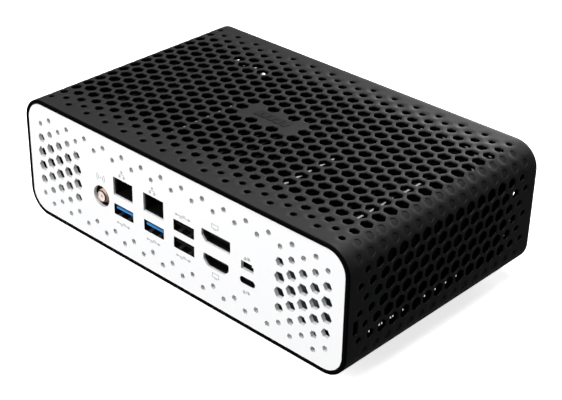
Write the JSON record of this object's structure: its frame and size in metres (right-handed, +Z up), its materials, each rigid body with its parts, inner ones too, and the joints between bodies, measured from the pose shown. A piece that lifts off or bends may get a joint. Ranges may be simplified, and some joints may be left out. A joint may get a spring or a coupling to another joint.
{
  "type": "mini pc",
  "caption": "Fanless mini PC: rounded rectangular honeycomb sleeve closed by two white end panels with sockets, controls and vents, on four feet.",
  "frame": {"origin": "centre of the footprint, on the plane that the feet stand on", "axes": "+X along the long side, -Y out of the socket panel, +Y out of the button panel, +Z up"},
  "size_m": [0.204, 0.128, 0.068],
  "materials": {
    "sleeve_plastic": "fine moulded grain",
    "panel_plastic": "satin white",
    "cover_plastic": "fine moulded grain",
    "foot_rubber": "matt",
    "screw_steel": "nickel plated",
    "frame_steel": "galvanised",
    "black_screw": "black zinc",
    "brass": "turned",
    "circuit_board": "solder mask",
    "chip": "moulded package",
    "thermal_pad": "soft pad",
    "cooler_black": "black anodised",
    "heat_pipe": "nickel plated copper",
    "capacitor": "bare can",
    "socket_plastic": "moulded",
    "gold": "gold plated",
    "shell_dark": "black nickel",
    "blue_plastic": "moulded",
    "insulator": "white",
    "cable_black": "jacket",
    "drive_metal": "brushed",
    "button_white": "satin",
    "light_guide": "clear"
  },
  "bodies": {
    "chassis": {"sleeve_top": "sleeve_plastic", "sleeve_corners": "sleeve_plastic", "sleeve_left": "sleeve_plastic", "sleeve_right": "sleeve_plastic", "sleeve_bottom": "sleeve_plastic", "rear_panel": "panel_plastic", "front_panel": "panel_plastic", "rubber_feet": "foot_rubber", "mount_frame": "frame_steel", "standoffs": "brass", "mainboard": "circuit_board", "board_screws": "black_screw", "processor": "chip", "thermal_pad": "thermal_pad", "heat_sink": "cooler_black", "heat_pipes": "heat_pipe", "cooler_screws": "screw_steel", "cooler_posts": "brass", "inductors": "chip", "capacitors": "capacitor", "stack_housings": "socket_plastic", "network_contacts": "gold", "blue_socket_shells": "shell_dark", "blue_socket_tongues": "blue_plastic", "black_socket_shells": "shell_dark", "black_socket_tongues": "socket_plastic", "black_socket_housing": "socket_plastic", "upper_video_socket": "shell_dark", "lower_video_socket": "shell_dark", "video_tongues": "socket_plastic", "socket_carriers": "socket_plastic", "keyed_socket": "socket_plastic", "keyed_pins": "gold", "oval_sockets": "shell_dark", "oval_tongues": "socket_plastic", "antenna_connector": "brass", "antenna_insulator": "insulator", "antenna_pin": "gold", "antenna_nut": "brass", "antenna_bracket": "frame_steel", "wireless_card": "circuit_board", "wireless_socket": "socket_plastic", "antenna_lead": "cable_black", "memory_socket": "socket_plastic", "memory_modules": "circuit_board", "memory_latches": "frame_steel", "solid_state_drive": "drive_metal", "drive_bracket": "frame_steel", "drive_screws": "screw_steel", "drive_socket": "socket_plastic", "coin_cell_holder": "socket_plastic", "coin_cell": "frame_steel", "button_switch": "chip", "light_guides": "light_guide", "audio_jacks": "socket_plastic", "card_socket": "frame_steel"},
    "button": {"power_button": "button_white"},
    "cover": {"bottom_cover": "cover_plastic"},
    "screw_rear": {"thumbscrew_rear": "screw_steel"},
    "screw_front": {"thumbscrew_front": "screw_steel"}
  },
  "joints": [
    {"name": "button_press", "type": "slide", "parent": "chassis", "child": "button", "axis": [0, -1, 0], "range_m": [0, 0.0008], "stiffness_N_per_m": 1500},
    {"name": "cover_lift", "type": "slide", "parent": "chassis", "child": "cover", "axis": [0, 0, -1], "range_m": [0, 0.03]},
    {"name": "screw_rear_turn", "type": "hinge", "parent": "cover", "child": "screw_rear", "pos_m": [0.026, -0.047, 0.0045], "axis": [0, 0, 1], "continuous": true},
    {"name": "screw_front_turn", "type": "hinge", "parent": "cover", "child": "screw_front", "pos_m": [0.026, 0.047, 0.0045], "axis": [0, 0, 1], "continuous": true}
  ]
}
